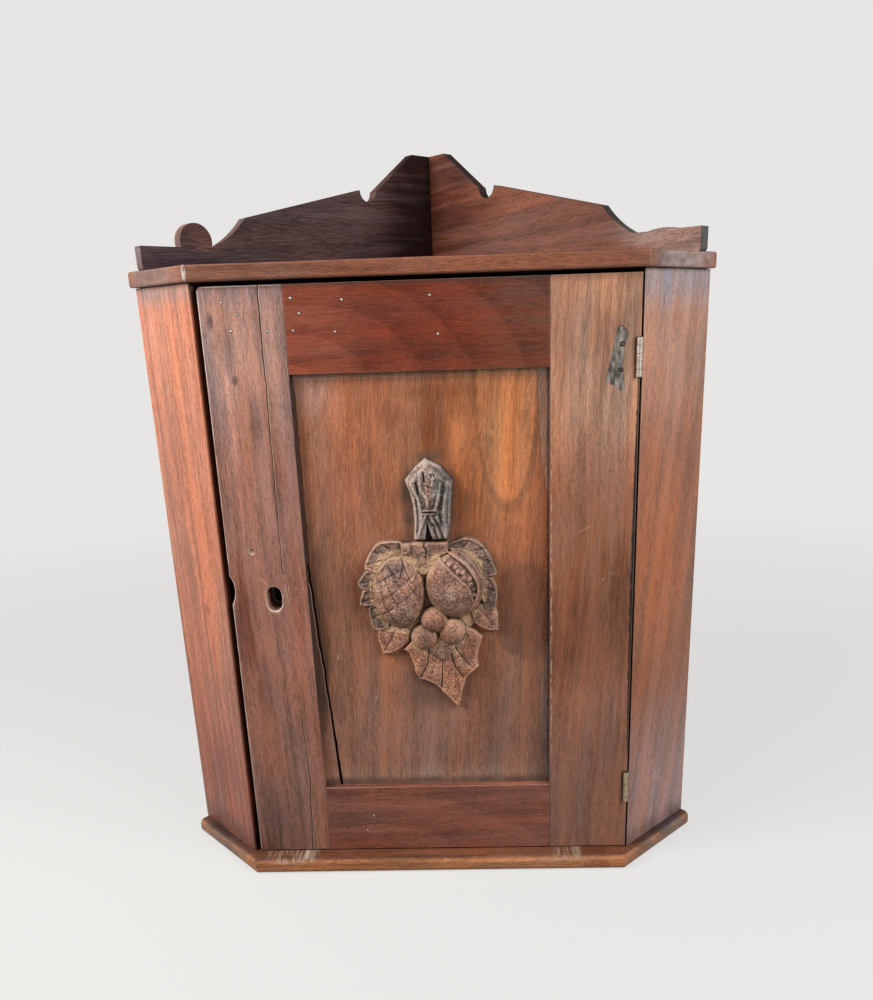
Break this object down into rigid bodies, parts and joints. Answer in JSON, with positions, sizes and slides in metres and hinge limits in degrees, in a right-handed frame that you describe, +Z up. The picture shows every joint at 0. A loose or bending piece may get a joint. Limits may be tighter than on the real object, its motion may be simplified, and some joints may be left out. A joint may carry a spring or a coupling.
{
  "type": "corner cabinet",
  "caption": "Small hanging corner cabinet with a panelled door on butt hinges, a carved fruit pull, a lock, inner shelves and a shaped gallery.",
  "frame": {"origin": "middle of the footprint, on the flat underside of the base board", "axes": "+Z up, the door faces -Y, the room corner is towards +Y, +X to the right seen from the front"},
  "size_m": [0.4298, 0.2796, 0.5665],
  "materials": {
    "red_walnut": "worn satin polish on red-brown walnut",
    "brown_walnut": "worn satin polish on brown walnut",
    "panel_walnut": "worn satin polish, golden in the middle, grimy at the margins",
    "dark_walnut": "dark dry polish",
    "edge_walnut": "satin polish rubbed through along the edges",
    "inside_pine": "bare aged softwood",
    "carved_stem": "dark carved wood, waxed and dusty",
    "carved_fruit": "carved wood, worn on the high places, dusty in the hollows",
    "steel": "dull worn steel",
    "brass": "tarnished brass",
    "iron": "dark iron"
  },
  "bodies": {
    "carcass": {"base_board": "edge_walnut", "top_board": "edge_walnut", "back_board_left": "inside_pine", "back_board_right": "inside_pine", "return_left": "red_walnut", "return_right": "red_walnut", "gallery_left": "dark_walnut", "gallery_right": "dark_walnut", "shelf_lower": "inside_pine", "shelf_upper": "inside_pine", "cleat_lower_left": "inside_pine", "cleat_lower_right": "inside_pine", "cleat_upper_left": "inside_pine", "cleat_upper_right": "inside_pine", "hinge_frame_leaf_lower": "brass", "hinge_frame_leaf_upper": "steel", "hinge_pin_lower": "iron", "hinge_pin_upper": "iron"},
    "door": {"lock_stile": "brown_walnut", "hinge_stile": "brown_walnut", "top_rail": "red_walnut", "bottom_rail": "red_walnut", "door_panel": "panel_walnut", "pull_stem": "carved_stem", "pull_fruit": "carved_fruit", "hinge_door_leaf_lower": "brass", "hinge_door_leaf_upper": "steel", "lock_case": "iron", "lock_cap": "iron"},
    "lock_bolt": {"lock_bolt": "iron", "lock_back_spring": "steel"}
  },
  "joints": [
    {"name": "door_hinge", "type": "hinge", "parent": "carcass", "child": "door", "pos_m": [0.1505, -0.12702, 0.2334], "axis": [0, 0, 1], "range_deg": [0, 150]},
    {"name": "bolt_slide", "type": "slide", "parent": "door", "child": "lock_bolt", "axis": [-1, 0, 0], "range_m": [0, 0.009]}
  ]
}
